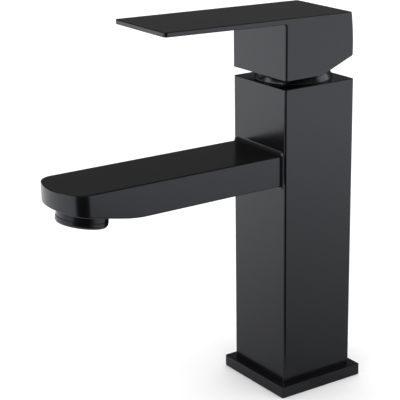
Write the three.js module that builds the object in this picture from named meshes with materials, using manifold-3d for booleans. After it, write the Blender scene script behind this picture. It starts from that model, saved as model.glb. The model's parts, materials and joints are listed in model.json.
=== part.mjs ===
// Single-lever basin mixer with a square column, a flat spout and a flat lever.
// Millimetres. +Z is up, the spout and the lever point along -Y, and the origin is
// where the column's axis meets the deck.

import * as THREE from "three";
import { ConvexGeometry } from "three/addons/geometries/ConvexGeometry.js";
import { mergeVertices } from "three/addons/utils/BufferGeometryUtils.js";
import Module from "manifold-3d";

const wasm = await Module();
wasm.setup();

// ---------------------------------------------------------------- driving dimensions

const ROUND = 40; // sides of a round face that shows
const SMALL = 20; // sides of a small or hidden round face
const CURVE = 10; // sides of a curve in an extruded outline
const GAP = 0.3; // running gap between neighbouring faceted pieces
const OVER = 1; // how far a cutting tool runs past the face that it cuts, or a lug into its body

const COLUMN_WIDTH = 45;
const COLUMN_TOP = 168.4;
const COLUMN_WALL = 3;

const FLANGE = { width: 53.5, top: 6.5, bore: 17.3, lip: 2.5 };
const GASKET = { inner: 19.3, outer: 23.7, height: 1.8 };

const HOLLOW_TOP = 106; // roof of the hollow that the supply hoses run up
const STUD_BOSS = { y: 10, radius: 7, from: 10, to: 42, bore: 3.4, depth: 20 };
const INLET = { x: 9, y: -5, thread: 4.45, depth: 12, bore: 3.3 };
const OUTLET = { y: 7, bore: 4.2, cross: 4.8, level: 125.4 };

// Heights of the stack of cartridge pieces, from the chamber's floor upwards.
const FLOOR = 140;
const BASE_TOP = 144;
const FIXED_DISC_TOP = 148;
const MOVING_DISC = { from: 148.1, to: 151.6, radius: 12.9, y: 2.2 };
const MIXING_POCKET = { radius: 6.1, depth: 1.9, shift: 1 };
const CARRIER = { to: 156.2, radius: 12.5, bore: 2.8 };
const ROTOR = { from: 156.6, flangeTop: 159, to: 174, flange: 15.4, shaft: 11 };
const ROTOR_SLOT = { front: -6.9, rear: 7.1 };
const HOUSING = {
  cavityTop: 159.3,
  shoulder: 161.5,
  neckTop: 174.5,
  cavity: 15.8,
  neck: 13,
  neckBore: 11.3,
};
const CARTRIDGE_RADIUS = 17.4;
const PORT = { x: 6.5, y: -5.5, bore: 2.7, depth: 2 };
const SEAL = { height: 1.7, wall: 2, pocket: 2.3 };
const PEG = { x: 12, y: 8, radius: 2.2, length: 3 };

const PIVOT_HEIGHT = 168;
const PIN = { radius: 1.5, half: 9.8, hole: 1.8 };
const STEM = { half: 4, block: 4.3, blockFrom: 163.4, blockTo: 173, top: 194 };
const STEM_ARM = { radius: 1.9, ball: 2.4, ballAt: 154.4, sides: 16, bands: 10 };
const STEM_FIT = { side: 0.15, end: 0.6 }; // play of the stem in the handle's socket

const NUT = { thread: 19, collar: 17.6, bore: 13.4, collarFrom: 167.8, top: 170.6 };
const NOTCH = { half: 2.2, depth: 2, land: 2 }; // spanner notches in the nut's top
const THREAD_RELIEF = 3; // depth of the threaded bore below the housing's shoulder
const DOME = { outer: 22, shell: 1.3, centre: 160.85, base: 20.5, skirt: 19.3, hole: 13.4, ease: 0.2 };

const HANDLE_WIDTH = 46;
const BLOCK = {
  front: -22.5,
  bottom: 172.8,
  rear: 21.5,
  rearTop: 20.3,
  rearBulge: 0.9,
  heelStart: 0.9,
  heelTop: 181,
};
const LEVER = { tip: -94.2, topRise: 0.025, underRise: 0.031, topAtAxis: 204.1, underAtAxis: 201.1 };
const CAVITY = { radius: 20, wallTop: 178, roofRadius: 13, roof: 184.5 };
const GRUB = { height: 189.5, radius: 2.4, from: 4.35, to: 14.3, key: 1.45, keyDepth: 3, room: 2 };
const INDEX_CAP = { radius: 3.3, from: 17.5, to: 22.1, hole: 3.6 };

const SPOUT = { half: 20, bottom: 117.2, topAtRoot: 133.4, topAtTip: 134.2, tip: -146.8 };
const SPOUT_NOSE = { corner: 9, front: 34 }; // plan radii of the rounded end
const BLANK = { beyond: 5, height: 30 }; // spare material round the spout before it is trimmed
const UNDERCUT = { from: -110.5, slope: 0.2, blend: 7 };
const FILLET = { top: 2.6, side: 2.2, steps: 5 };
const WATERWAY = { half: 9, floor: 120.4, roof: 130.2, end: -119 };

const AERATOR = {
  y: -128.7,
  neck: 12.8,
  neckEnd: 4.4,
  collar: 13.25,
  rim: 12.5,
  drop: 7.4,
  taper: 1.2,
  thread: 11.8,
  rise: 6,
  lip: 8.7,
};
const AERATOR_BORE = { radius: 12.1, depth: 7.6, pocket: 9.6, pocketDepth: 9.8, open: 5 };
const WASHER_LAP = 1; // how far the washer reaches inside the pocket's edge
const STRAIGHTENER = { radius: 9.9, from: -5.9, to: 0, cell: 1.05, pitch: 2.5, rings: 3 };
const SCREEN = { from: 0.3, to: 2.6, cell: 0.7, pitch: 3, rings: 2 };

// ---------------------------------------------------------------- solids

function signedVolume(position, index) {
  const a = new THREE.Vector3();
  const b = new THREE.Vector3();
  const c = new THREE.Vector3();
  let sum = 0;
  for (let i = 0; i < index.count; i += 3) {
    a.fromBufferAttribute(position, index.getX(i));
    b.fromBufferAttribute(position, index.getX(i + 1));
    c.fromBufferAttribute(position, index.getX(i + 2));
    sum += a.dot(b.cross(c));
  }
  return sum / 6;
}

// A closed three.js geometry as a solid that can be joined and cut.
function solid(geometry) {
  const bare = geometry.clone();
  bare.deleteAttribute("normal");
  bare.deleteAttribute("uv");
  const merged = mergeVertices(bare, 1e-4);
  const triVerts = Uint32Array.from(merged.index.array);
  if (signedVolume(merged.attributes.position, merged.index) < 0) {
    triVerts.reverse();
  }
  const vertProperties = Float32Array.from(merged.attributes.position.array);
  return new wasm.Manifold(new wasm.Mesh({ numProp: 3, vertProperties, triVerts }));
}

function geometryOf(body) {
  const mesh = body.getMesh();
  const geometry = new THREE.BufferGeometry();
  geometry.setAttribute("position", new THREE.BufferAttribute(mesh.vertProperties, 3));
  geometry.setIndex(new THREE.BufferAttribute(mesh.triVerts, 1));
  geometry.computeVertexNormals();
  return geometry;
}

const join = (first, ...others) => others.reduce((sum, other) => sum.add(other), first);
const cut = (first, ...others) => others.reduce((rest, other) => rest.subtract(other), first);

function box(x0, x1, y0, y1, z0, z1) {
  const geometry = new THREE.BoxGeometry(x1 - x0, y1 - y0, z1 - z0);
  geometry.translate((x0 + x1) / 2, (y0 + y1) / 2, (z0 + z1) / 2);
  return solid(geometry);
}

// A round bar along Z.
function bar(radius, z0, z1, x = 0, y = 0, sides = SMALL) {
  const geometry = new THREE.CylinderGeometry(radius, radius, z1 - z0, sides);
  geometry.rotateX(Math.PI / 2);
  geometry.translate(x, y, (z0 + z1) / 2);
  return solid(geometry);
}

// A round bar along Y, centred on x = 0 at height z.
function barAlongY(radius, y0, y1, z, sides = SMALL) {
  const geometry = new THREE.CylinderGeometry(radius, radius, y1 - y0, sides);
  geometry.translate(0, (y0 + y1) / 2, z);
  return solid(geometry);
}

// A round bar along X through the lever's pivot.
function barAlongX(radius, half) {
  const geometry = new THREE.CylinderGeometry(radius, radius, 2 * half, SMALL);
  geometry.rotateZ(Math.PI / 2);
  geometry.translate(0, 0, PIVOT_HEIGHT);
  return solid(geometry);
}

// A profile of [radius, height] points turned about Z. It starts and ends on the
// axis, or it is a loop that closes on itself.
function turned(points, sides = ROUND) {
  const profile = points.map(([r, z]) => new THREE.Vector2(r, z));
  if (points[0][0] > 0) {
    profile.push(profile[0].clone());
  }
  const geometry = new THREE.LatheGeometry(profile, sides);
  geometry.rotateX(Math.PI / 2);
  return solid(geometry);
}

const ring = (inner, outer, z0, z1, sides = SMALL) =>
  turned([[inner, z0], [outer, z0], [outer, z1], [inner, z1]], sides);

// A shape drawn in the Y-Z plane and extruded along X about the middle plane.
function sideExtrusion(shape, half) {
  const settings = { depth: 2 * half, bevelEnabled: false, curveSegments: CURVE };
  const geometry = new THREE.ExtrudeGeometry(shape, settings);
  geometry.applyMatrix4(new THREE.Matrix4().makeBasis(
    new THREE.Vector3(0, 1, 0),
    new THREE.Vector3(0, 0, 1),
    new THREE.Vector3(1, 0, 0),
  ));
  geometry.translate(-half, 0, 0);
  return solid(geometry);
}

function hexCells(radius, pitch, rings, z0, z1) {
  const cells = [];
  for (let q = -rings; q <= rings; q += 1) {
    for (let r = Math.max(-rings, -q - rings); r <= Math.min(rings, -q + rings); r += 1) {
      const x = pitch * (q + r / 2);
      const y = pitch * r * Math.sqrt(3) / 2;
      cells.push(bar(radius, z0, z1, x, y, 6));
    }
  }
  return cells;
}

// ---------------------------------------------------------------- base and column

function baseFlange() {
  const half = FLANGE.width / 2;
  const lip = COLUMN_WIDTH / 2 - COLUMN_WALL - GAP;
  return cut(
    join(
      box(-half, half, -half, half, 0, FLANGE.top),
      box(-lip, lip, -lip, lip, FLANGE.top - OVER, FLANGE.top + FLANGE.lip),
    ),
    bar(FLANGE.bore, -OVER, FLANGE.top + FLANGE.lip + OVER, 0, 0, ROUND),
    ring(GASKET.inner - GAP, GASKET.outer + GAP, -OVER, GASKET.height, ROUND),
  );
}

const baseGasket = () => ring(GASKET.inner, GASKET.outer, 0, GASKET.height, ROUND);

function studBoss() {
  const wall = COLUMN_WIDTH / 2 - COLUMN_WALL;
  return join(
    bar(STUD_BOSS.radius, STUD_BOSS.from, STUD_BOSS.to, 0, STUD_BOSS.y),
    box(-STUD_BOSS.radius, STUD_BOSS.radius, STUD_BOSS.y, wall + OVER, STUD_BOSS.from, STUD_BOSS.to),
  );
}

function supplyBores() {
  return [-1, 1].flatMap((side) => [
    bar(INLET.thread, HOLLOW_TOP - OVER, HOLLOW_TOP + INLET.depth, side * INLET.x, INLET.y),
    bar(INLET.bore, HOLLOW_TOP, FLOOR + OVER, side * INLET.x, INLET.y),
    bar(PEG.radius + GAP, FLOOR - PEG.length - GAP, FLOOR + OVER, side * PEG.x, PEG.y),
  ]);
}

function mixedWaterBores() {
  return [
    bar(OUTLET.bore, OUTLET.level, FLOOR + OVER, 0, OUTLET.y),
    barAlongY(OUTLET.cross, -COLUMN_WIDTH / 2 - OVER, OUTLET.y + OUTLET.bore / 2, OUTLET.level),
  ];
}

function column() {
  const half = COLUMN_WIDTH / 2;
  const inside = half - COLUMN_WALL;
  const shell = cut(
    box(-half, half, -half, half, FLANGE.top, COLUMN_TOP),
    box(-inside, inside, -inside, inside, FLANGE.top - OVER, HOLLOW_TOP),
  );
  return cut(
    join(shell, studBoss()),
    bar(STUD_BOSS.bore, STUD_BOSS.from - OVER, STUD_BOSS.from + STUD_BOSS.depth, 0, STUD_BOSS.y),
    bar(CARTRIDGE_RADIUS + GAP, FLOOR, COLUMN_TOP + OVER, 0, 0, ROUND),
    bar(NUT.thread + GAP, HOUSING.shoulder - THREAD_RELIEF, COLUMN_TOP + OVER, 0, 0, ROUND),
    ...supplyBores(),
    ...mixedWaterBores(),
  );
}

// ---------------------------------------------------------------- spout and aerator

const undersideAt = (y) => SPOUT.bottom + UNDERCUT.slope * (UNDERCUT.from - y);

// Places a solid made about the aerator's own axis, with z = 0 on the spout's underside.
const aeratorTilt = -Math.atan(UNDERCUT.slope);
const aeratorPlace = new THREE.Matrix4()
  .makeRotationX(aeratorTilt)
  .setPosition(0, AERATOR.y, undersideAt(AERATOR.y));

function atAerator(body) {
  return solid(geometryOf(body).applyMatrix4(aeratorPlace));
}

// Plan of the spout: straight sides, two corner arcs and a slightly bowed front.
function spoutPlan() {
  const { corner, front } = SPOUT_NOSE;
  const frontY = SPOUT.tip + front;
  const cornerX = SPOUT.half - corner;
  const between = front - corner;
  const cornerY = frontY - Math.sqrt(between ** 2 - cornerX ** 2);
  const meet = Math.atan2(cornerY - frontY, cornerX); // where the arcs meet on the right
  const mirrored = -Math.PI - meet; // and on the left
  const plan = new THREE.Shape();
  const root = -COLUMN_WIDTH / 2;
  plan.moveTo(SPOUT.half, root);
  plan.lineTo(-SPOUT.half, root);
  plan.absarc(-cornerX, cornerY, corner, -Math.PI, mirrored, false);
  plan.absarc(0, frontY, front, mirrored, meet, false);
  plan.absarc(cornerX, cornerY, corner, meet, 0, false);
  plan.closePath();
  const settings = { depth: BLANK.height, bevelEnabled: false, curveSegments: CURVE };
  const geometry = new THREE.ExtrudeGeometry(plan, settings);
  geometry.translate(0, 0, SPOUT.bottom - BLANK.beyond);
  return solid(geometry);
}

// Side view of the spout: flat underside that turns up towards the end.
function spoutSide() {
  const beyond = SPOUT.tip - BLANK.beyond;
  const root = -COLUMN_WIDTH / 2;
  const side = new THREE.Shape();
  side.moveTo(root, SPOUT.bottom);
  side.lineTo(root, SPOUT.topAtRoot);
  side.lineTo(beyond, SPOUT.topAtTip);
  side.lineTo(beyond, undersideAt(beyond));
  side.lineTo(UNDERCUT.from - UNDERCUT.blend, undersideAt(UNDERCUT.from - UNDERCUT.blend));
  side.quadraticCurveTo(UNDERCUT.from, SPOUT.bottom, UNDERCUT.from + UNDERCUT.blend, SPOUT.bottom);
  side.closePath();
  return sideExtrusion(side, SPOUT.half + BLANK.beyond);
}

// Concave fillet where the spout meets the column, as frusta between sections.
function spoutFillet() {
  const root = -COLUMN_WIDTH / 2;
  const sections = [];
  for (let i = 0; i <= FILLET.steps; i += 1) {
    const turn = (i / FILLET.steps) * Math.PI / 2;
    const flare = 1 - Math.sin(turn);
    const y = root - FILLET.top * (1 - Math.cos(turn));
    const x = SPOUT.half + FILLET.side * flare;
    const low = SPOUT.bottom - FILLET.top * flare;
    const high = SPOUT.topAtRoot + FILLET.top * flare;
    sections.push([
      new THREE.Vector3(-x, y, low),
      new THREE.Vector3(x, y, low),
      new THREE.Vector3(x, y, high),
      new THREE.Vector3(-x, y, high),
    ]);
  }
  const frusta = sections.slice(1).map((section, i) => {
    const corners = [...sections[i], ...section];
    return solid(new ConvexGeometry(corners));
  });
  return join(...frusta);
}

function spout() {
  const body = join(spoutPlan().intersect(spoutSide()), spoutFillet());
  return cut(
    body,
    box(-WATERWAY.half, WATERWAY.half, WATERWAY.end, 0, WATERWAY.floor, WATERWAY.roof),
    atAerator(bar(AERATOR_BORE.radius, -AERATOR_BORE.open, AERATOR_BORE.depth, 0, 0, ROUND)),
    atAerator(bar(AERATOR_BORE.pocket, 0, AERATOR_BORE.pocketDepth)),
  );
}

function aeratorHousing() {
  const inside = STRAIGHTENER.radius + GAP;
  const lipTop = STRAIGHTENER.from - GAP;
  return turned([
    [AERATOR.lip, -AERATOR.drop],
    [AERATOR.rim, -AERATOR.drop],
    [AERATOR.collar, -AERATOR.drop + AERATOR.taper],
    [AERATOR.collar, -AERATOR.neckEnd],
    [AERATOR.neck, -AERATOR.neckEnd],
    [AERATOR.neck, -GAP],
    [AERATOR.thread, -GAP],
    [AERATOR.thread, AERATOR.rise],
    [inside, AERATOR.rise],
    [inside, lipTop],
    [AERATOR.lip, lipTop],
  ]);
}

const perforated = (radius, from, to, cell, pitch, rings) =>
  cut(bar(radius, from, to, 0, 0, ROUND), ...hexCells(cell, pitch, rings, from - OVER, to + OVER));

function aeratorInsert() {
  const { radius, from, to, cell, pitch, rings } = STRAIGHTENER;
  return perforated(radius, from, to, cell, pitch, rings);
}

function aeratorScreen() {
  const { from, to, cell, pitch, rings } = SCREEN;
  return perforated(STRAIGHTENER.radius, from, to, cell, pitch, rings);
}

function aeratorWasher() {
  const inner = AERATOR_BORE.pocket - WASHER_LAP;
  return ring(inner, AERATOR.thread - GAP, AERATOR.rise + GAP, AERATOR_BORE.depth - GAP);
}

// ---------------------------------------------------------------- cartridge

function cartridgeBase() {
  const below = FLOOR - OVER;
  const sealTop = FLOOR + SEAL.height;
  const inlets = [-1, 1].flatMap((side) => [
    bar(INLET.bore, below, BASE_TOP - PORT.depth + OVER, side * INLET.x, INLET.y),
    bar(INLET.bore + SEAL.pocket, below, sealTop, side * INLET.x, INLET.y),
    bar(PORT.bore, BASE_TOP - PORT.depth, BASE_TOP + OVER, side * PORT.x, PORT.y),
  ]);
  const pegs = [-1, 1].map((side) =>
    bar(PEG.radius, FLOOR - PEG.length, FLOOR + OVER, side * PEG.x, PEG.y));
  return cut(
    join(bar(CARTRIDGE_RADIUS, FLOOR, BASE_TOP, 0, 0, ROUND), ...pegs),
    bar(OUTLET.bore, below, BASE_TOP + OVER, 0, OUTLET.y),
    bar(OUTLET.bore + SEAL.pocket, below, sealTop, 0, OUTLET.y),
    ...inlets,
  );
}

function portSeal(bore, x, y) {
  return cut(
    bar(bore + SEAL.wall, FLOOR, FLOOR + SEAL.height, x, y),
    bar(bore, FLOOR - OVER, FLOOR + SEAL.height + OVER, x, y),
  );
}

function fixedDisc() {
  return cut(
    bar(ROTOR.flange, BASE_TOP, FIXED_DISC_TOP, 0, 0, ROUND),
    bar(PORT.bore, BASE_TOP - OVER, FIXED_DISC_TOP + OVER, -PORT.x, PORT.y),
    bar(PORT.bore, BASE_TOP - OVER, FIXED_DISC_TOP + OVER, PORT.x, PORT.y),
    bar(OUTLET.bore, BASE_TOP - OVER, FIXED_DISC_TOP + OVER, 0, OUTLET.y),
  );
}

// The pocket in the underside links the outlet port to the inlet ports once it slides forward.
function movingDisc() {
  const { from, to, radius, y } = MOVING_DISC;
  const { depth, shift } = MIXING_POCKET;
  return cut(
    bar(radius, from, to, 0, y, ROUND),
    bar(MIXING_POCKET.radius, from - OVER, from + depth, 0, y + shift),
  );
}

const discCarrier = () => cut(
  bar(CARRIER.radius, MOVING_DISC.to, CARRIER.to, 0, MOVING_DISC.y, ROUND),
  bar(CARRIER.bore, MOVING_DISC.to - OVER, CARRIER.to + OVER),
);

function cartridgeHousing() {
  return turned([
    [HOUSING.cavity, BASE_TOP],
    [CARTRIDGE_RADIUS, BASE_TOP],
    [CARTRIDGE_RADIUS, HOUSING.shoulder],
    [HOUSING.neck, HOUSING.shoulder],
    [HOUSING.neck, HOUSING.neckTop],
    [HOUSING.neckBore, HOUSING.neckTop],
    [HOUSING.neckBore, HOUSING.cavityTop],
    [HOUSING.cavity, HOUSING.cavityTop],
  ]);
}

// The slot clears the stem through its whole tilt.
function rotor() {
  const slot = STEM.block + GAP;
  return cut(
    join(
      bar(ROTOR.flange, ROTOR.from, ROTOR.flangeTop, 0, 0, ROUND),
      bar(ROTOR.shaft, ROTOR.flangeTop - OVER, ROTOR.to, 0, 0, ROUND),
    ),
    box(-slot, slot, ROTOR_SLOT.front, ROTOR_SLOT.rear, ROTOR.from - OVER, ROTOR.to + OVER),
    barAlongX(PIN.hole, ROTOR.shaft + OVER),
  );
}

const pivotPin = () => barAlongX(PIN.radius, PIN.half);

function leverStem() {
  const { block, half } = STEM;
  const ball = new THREE.SphereGeometry(STEM_ARM.ball, STEM_ARM.sides, STEM_ARM.bands);
  ball.rotateX(Math.PI / 2);
  ball.translate(0, 0, STEM_ARM.ballAt);
  return join(
    cut(
      box(-block, block, -block, block, STEM.blockFrom, STEM.blockTo),
      barAlongX(PIN.hole, block + OVER),
    ),
    box(-half, half, -half, half, STEM.blockTo - OVER, STEM.top),
    bar(STEM_ARM.radius, STEM_ARM.ballAt, STEM.blockFrom + OVER / 2, 0, 0, STEM_ARM.sides),
    solid(ball),
  );
}

function nutNotches() {
  const start = NUT.bore + NOTCH.land;
  const reach = NUT.collar + OVER;
  const from = NUT.top - NOTCH.depth;
  const to = NUT.top + OVER;
  return [-1, 1].flatMap((side) => {
    const near = Math.min(side * start, side * reach);
    const far = Math.max(side * start, side * reach);
    return [
      box(near, far, -NOTCH.half, NOTCH.half, from, to),
      box(-NOTCH.half, NOTCH.half, near, far, from, to),
    ];
  });
}

function cartridgeNut() {
  const body = turned([
    [NUT.bore, HOUSING.shoulder],
    [NUT.thread, HOUSING.shoulder],
    [NUT.thread, NUT.collarFrom],
    [NUT.collar, NUT.collarFrom],
    [NUT.collar, NUT.top],
    [NUT.bore, NUT.top],
  ]);
  return cut(body, ...nutNotches());
}

// ---------------------------------------------------------------- dome cap and handle

// Points of a sphere's meridian between two radii, both measured from the axis.
function meridian(radius, from, to, steps) {
  const points = [];
  const start = Math.asin(from / radius);
  const end = Math.asin(to / radius);
  for (let i = 0; i <= steps; i += 1) {
    const angle = start + (end - start) * i / steps;
    points.push([radius * Math.sin(angle), DOME.centre + radius * Math.cos(angle)]);
  }
  return points;
}

function domeCap() {
  return turned([
    [DOME.skirt, COLUMN_TOP],
    [DOME.base, COLUMN_TOP],
    ...meridian(DOME.outer, DOME.base, DOME.hole, 5),
    ...meridian(DOME.outer - DOME.shell, DOME.hole, DOME.skirt - DOME.ease, 4),
  ]);
}

function handleProfile() {
  const topAt = (y) => LEVER.topAtAxis - LEVER.topRise * y;
  const underAt = (y) => LEVER.underAtAxis - LEVER.underRise * y;
  const side = new THREE.Shape();
  side.moveTo(LEVER.tip, topAt(LEVER.tip));
  side.lineTo(LEVER.tip, underAt(LEVER.tip));
  side.lineTo(BLOCK.front, underAt(BLOCK.front));
  side.lineTo(BLOCK.front, BLOCK.bottom);
  side.lineTo(BLOCK.heelStart, BLOCK.bottom);
  side.lineTo(BLOCK.rear, BLOCK.heelTop);
  side.quadraticCurveTo(
    (BLOCK.rear + BLOCK.rearTop) / 2 + 2 * BLOCK.rearBulge,
    (BLOCK.heelTop + topAt(BLOCK.rearTop)) / 2,
    BLOCK.rearTop,
    topAt(BLOCK.rearTop),
  );
  side.closePath();
  return side;
}

function handle() {
  const below = BLOCK.bottom - 2 * OVER;
  const cavity = turned([
    [0, below],
    [CAVITY.radius, below],
    [CAVITY.radius, CAVITY.wallTop],
    [CAVITY.roofRadius, CAVITY.roof],
    [0, CAVITY.roof],
  ]);
  const socket = STEM.half + STEM_FIT.side;
  return cut(
    sideExtrusion(handleProfile(), HANDLE_WIDTH / 2),
    cavity,
    box(-socket, socket, -socket, socket, CAVITY.roof - OVER, STEM.top + STEM_FIT.end),
    barAlongY(GRUB.radius + GAP, 0, GRUB.to + GRUB.room, GRUB.height),
    barAlongY(INDEX_CAP.hole, GRUB.to + GAP, BLOCK.rear + BLANK.beyond, GRUB.height),
  );
}

const grubScrew = () => cut(
  barAlongY(GRUB.radius, GRUB.from, GRUB.to, GRUB.height),
  barAlongY(GRUB.key, GRUB.to - GRUB.keyDepth, GRUB.to + OVER, GRUB.height, 6),
);

const indexCap = () => barAlongY(INDEX_CAP.radius, INDEX_CAP.from, INDEX_CAP.to, GRUB.height);

// ---------------------------------------------------------------- assembly

function finish(color, roughness, metalness) {
  return new THREE.MeshStandardMaterial({ color, roughness, metalness });
}

const satinBlack = finish(0x3a3a3d, 0.38, 0.2);
const darkPlastic = finish(0x1d1d1f, 0.55, 0);
const palePlastic = finish(0xd8d8d2, 0.5, 0);
const ceramic = finish(0xe9e6dd, 0.25, 0);
const rubber = finish(0x161616, 0.85, 0);
const brass = finish(0xb08d4a, 0.35, 1);
const steel = finish(0xb4b6b9, 0.3, 1);
const marker = finish(0xb03030, 0.4, 0);

function node(name, body, material) {
  const mesh = new THREE.Mesh(geometryOf(body), material);
  mesh.name = name;
  return mesh;
}

function aeratorGroup() {
  const group = new THREE.Group();
  group.rotation.x = aeratorTilt;
  group.position.set(0, AERATOR.y, undersideAt(AERATOR.y));
  group.add(
    node("aerator_housing", aeratorHousing(), satinBlack),
    node("aerator_insert", aeratorInsert(), palePlastic),
    node("aerator_screen", aeratorScreen(), steel),
    node("aerator_washer", aeratorWasher(), rubber),
  );
  return group;
}

function cartridgeGroup() {
  const group = new THREE.Group();
  group.add(
    node("cartridge_base", cartridgeBase(), palePlastic),
    node("seal_hot", portSeal(INLET.bore, -INLET.x, INLET.y), rubber),
    node("seal_cold", portSeal(INLET.bore, INLET.x, INLET.y), rubber),
    node("seal_outlet", portSeal(OUTLET.bore, 0, OUTLET.y), rubber),
    node("fixed_disc", fixedDisc(), ceramic),
    node("moving_disc", movingDisc(), ceramic),
    node("disc_carrier", discCarrier(), darkPlastic),
    node("cartridge_housing", cartridgeHousing(), palePlastic),
    node("rotor", rotor(), darkPlastic),
    node("pivot_pin", pivotPin(), steel),
    node("lever_stem", leverStem(), brass),
    node("cartridge_nut", cartridgeNut(), brass),
  );
  return group;
}

const faucet = new THREE.Group();
faucet.add(
  node("base_flange", baseFlange(), satinBlack),
  node("base_gasket", baseGasket(), rubber),
  node("column", column(), satinBlack),
  node("spout", spout(), satinBlack),
  node("dome_cap", domeCap(), satinBlack),
  node("handle", handle(), satinBlack),
  node("grub_screw", grubScrew(), steel),
  node("index_cap", indexCap(), marker),
  cartridgeGroup(),
  aeratorGroup(),
);

export default faucet;
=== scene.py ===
# Looks of a black single-lever basin mixer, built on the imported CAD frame.
# Metres. +Z is up, the spout and the lever point along -Y, and the floor is z = 0.
import json
import math

import bmesh
import bpy
from mathutils import Matrix, Vector

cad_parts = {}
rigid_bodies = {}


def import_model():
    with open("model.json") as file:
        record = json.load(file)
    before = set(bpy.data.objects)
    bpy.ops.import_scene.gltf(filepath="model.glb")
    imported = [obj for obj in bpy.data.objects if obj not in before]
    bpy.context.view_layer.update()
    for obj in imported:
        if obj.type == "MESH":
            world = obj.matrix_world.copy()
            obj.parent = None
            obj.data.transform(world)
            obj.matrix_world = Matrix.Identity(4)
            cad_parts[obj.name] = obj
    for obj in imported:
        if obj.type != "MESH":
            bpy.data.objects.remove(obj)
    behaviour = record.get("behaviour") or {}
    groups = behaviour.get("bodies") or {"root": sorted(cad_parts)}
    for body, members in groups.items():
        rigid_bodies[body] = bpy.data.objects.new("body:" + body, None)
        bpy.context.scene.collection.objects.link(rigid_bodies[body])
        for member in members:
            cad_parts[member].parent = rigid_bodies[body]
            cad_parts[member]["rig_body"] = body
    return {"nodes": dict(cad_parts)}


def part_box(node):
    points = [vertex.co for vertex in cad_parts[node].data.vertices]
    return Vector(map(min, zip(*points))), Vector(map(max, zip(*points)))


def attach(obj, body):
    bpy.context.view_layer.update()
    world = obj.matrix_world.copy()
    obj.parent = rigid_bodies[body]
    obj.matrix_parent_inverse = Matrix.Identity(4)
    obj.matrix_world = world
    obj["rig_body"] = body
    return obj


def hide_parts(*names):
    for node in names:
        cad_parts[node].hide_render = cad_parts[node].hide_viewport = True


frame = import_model()
bpy.context.view_layer.update()

MM = 0.001
ROUND = 96  # sides of a turned piece
FINE = 128  # sides of a turned piece whose outline shows large
SMALL = 40  # sides of a small turned piece
RIM_STEPS = 4  # strips across a small rounded edge
SHARP = math.radians(34)  # steeper edges than this are shaded sharp
FACE_WEIGHT = 90  # how far large flat faces rule the shading of their rims
SAME_POINT = 1e-8  # points closer than this are one
ON_AXIS = 1e-7  # a smaller radius than this is a point on the axis

EDGE = 0.45 * MM  # rounding of the coated edges
VERTICAL_EDGE = 1.25 * MM  # rounding of the upright corners of the column and the block
CORNER_SHRINK = 0.9  # how much an upright corner tightens as a rim is drawn in
GAP = 0.3 * MM  # clearance between neighbouring pieces
OVER = 1 * MM  # how far a cutting tool runs past the face that it cuts


# ------------------------------------------------------------------ mesh helpers


def rounded(corners, steps=6):
    """A closed outline from (x, y, radius) corners, each corner turned into an arc."""
    points = []
    for i, (x, y, radius) in enumerate(corners):
        here = Vector((x, y))
        if radius <= 0:
            points.append(here)
            continue
        before = (Vector(corners[i - 1][:2]) - here).normalized()
        after = (Vector(corners[(i + 1) % len(corners)][:2]) - here).normalized()
        half = before.angle(after) / 2
        centre = here + (before + after).normalized() * (radius / math.sin(half))
        start = here + before * (radius / math.tan(half)) - centre
        end = here + after * (radius / math.tan(half)) - centre
        sweep = start.angle(end) * (1 if start.cross(end) > 0 else -1)
        for k in range(steps + 1):
            points.append(centre + Matrix.Rotation(sweep * k / steps, 2) @ start)
    return points


def in_metres(corners):
    """Corners that are written in millimetres, turned into metres."""
    return [tuple(value * MM for value in corner) for corner in corners]


def square(half, radius):
    """A square outline about the axis, with rounded corners."""
    signs = [(1, -1), (1, 1), (-1, 1), (-1, -1)]
    return rounded([(half * x, half * y, radius) for x, y in signs])


def at_height(outline, z):
    """The points of a plan outline at a height."""
    return [(point.x, point.y, z) for point in outline]


def skin_between(bm, near, far):
    """Faces between two closed rows of vertices, which may share some."""
    for i in range(len(near)):
        j = (i + 1) % len(near)
        face = list(dict.fromkeys((near[i], near[j], far[j], far[i])))
        if len(face) > 2:
            bm.faces.new(face)


def loft(loops):
    """A skin over loops of equal length, closed at both ends."""
    bm = bmesh.new()
    rows = [[bm.verts.new(point) for point in loop] for loop in loops]
    for near, far in zip(rows, rows[1:]):
        skin_between(bm, near, far)
    bm.faces.new(rows[0])
    bm.faces.new(rows[-1])
    return bm


def slab(outline, low, high, low_round=0.0, high_round=0.0):
    """An upright prism; outline(inset) gives its plan, and its two rims are rounded."""
    levels = []
    for k in range(RIM_STEPS + 1 if low_round else 1):
        turn = math.pi / 2 * (1 - k / RIM_STEPS)
        inset = low_round * (1 - math.cos(turn))
        levels.append((inset, low + low_round * (1 - math.sin(turn))))
    for k in range(RIM_STEPS + 1 if high_round else 1):
        turn = math.pi / 2 * k / RIM_STEPS
        inset = high_round * (1 - math.cos(turn))
        levels.append((inset, high - high_round * (1 - math.sin(turn))))
    return loft([at_height(outline(inset), z) for inset, z in levels])


def coated_plan(half, radius):
    """outline(inset) of a coated square, whose corners tighten as the rim is drawn in."""
    return lambda inset: square(half - inset, radius - CORNER_SHRINK * inset)


def plain_plan(half, radius):
    """outline(inset) of a square whose corners keep their radius."""
    return lambda inset: square(half - inset, radius)


def revolve(profile, segments=ROUND):
    """A closed profile of (radius, height) turned about Z."""
    bm = bmesh.new()
    turns = [2 * math.pi * i / segments for i in range(segments)]
    rings = []
    for radius, z in profile:
        if radius < ON_AXIS:
            rings.append([bm.verts.new((0, 0, z))] * segments)
        else:
            ring = [(radius * math.cos(turn), radius * math.sin(turn), z) for turn in turns]
            rings.append([bm.verts.new(point) for point in ring])
    for low, high in zip(rings, rings[1:] + rings[:1]):
        skin_between(bm, low, high)
    return bm


def cylinder(radius, low, high, x=0.0, y=0.0):
    """A small round bar along Z."""
    bm = revolve([(0, low), (radius, low), (radius, high), (0, high)], SMALL)
    bm.transform(Matrix.Translation((x, y, 0)))
    return bm


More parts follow.
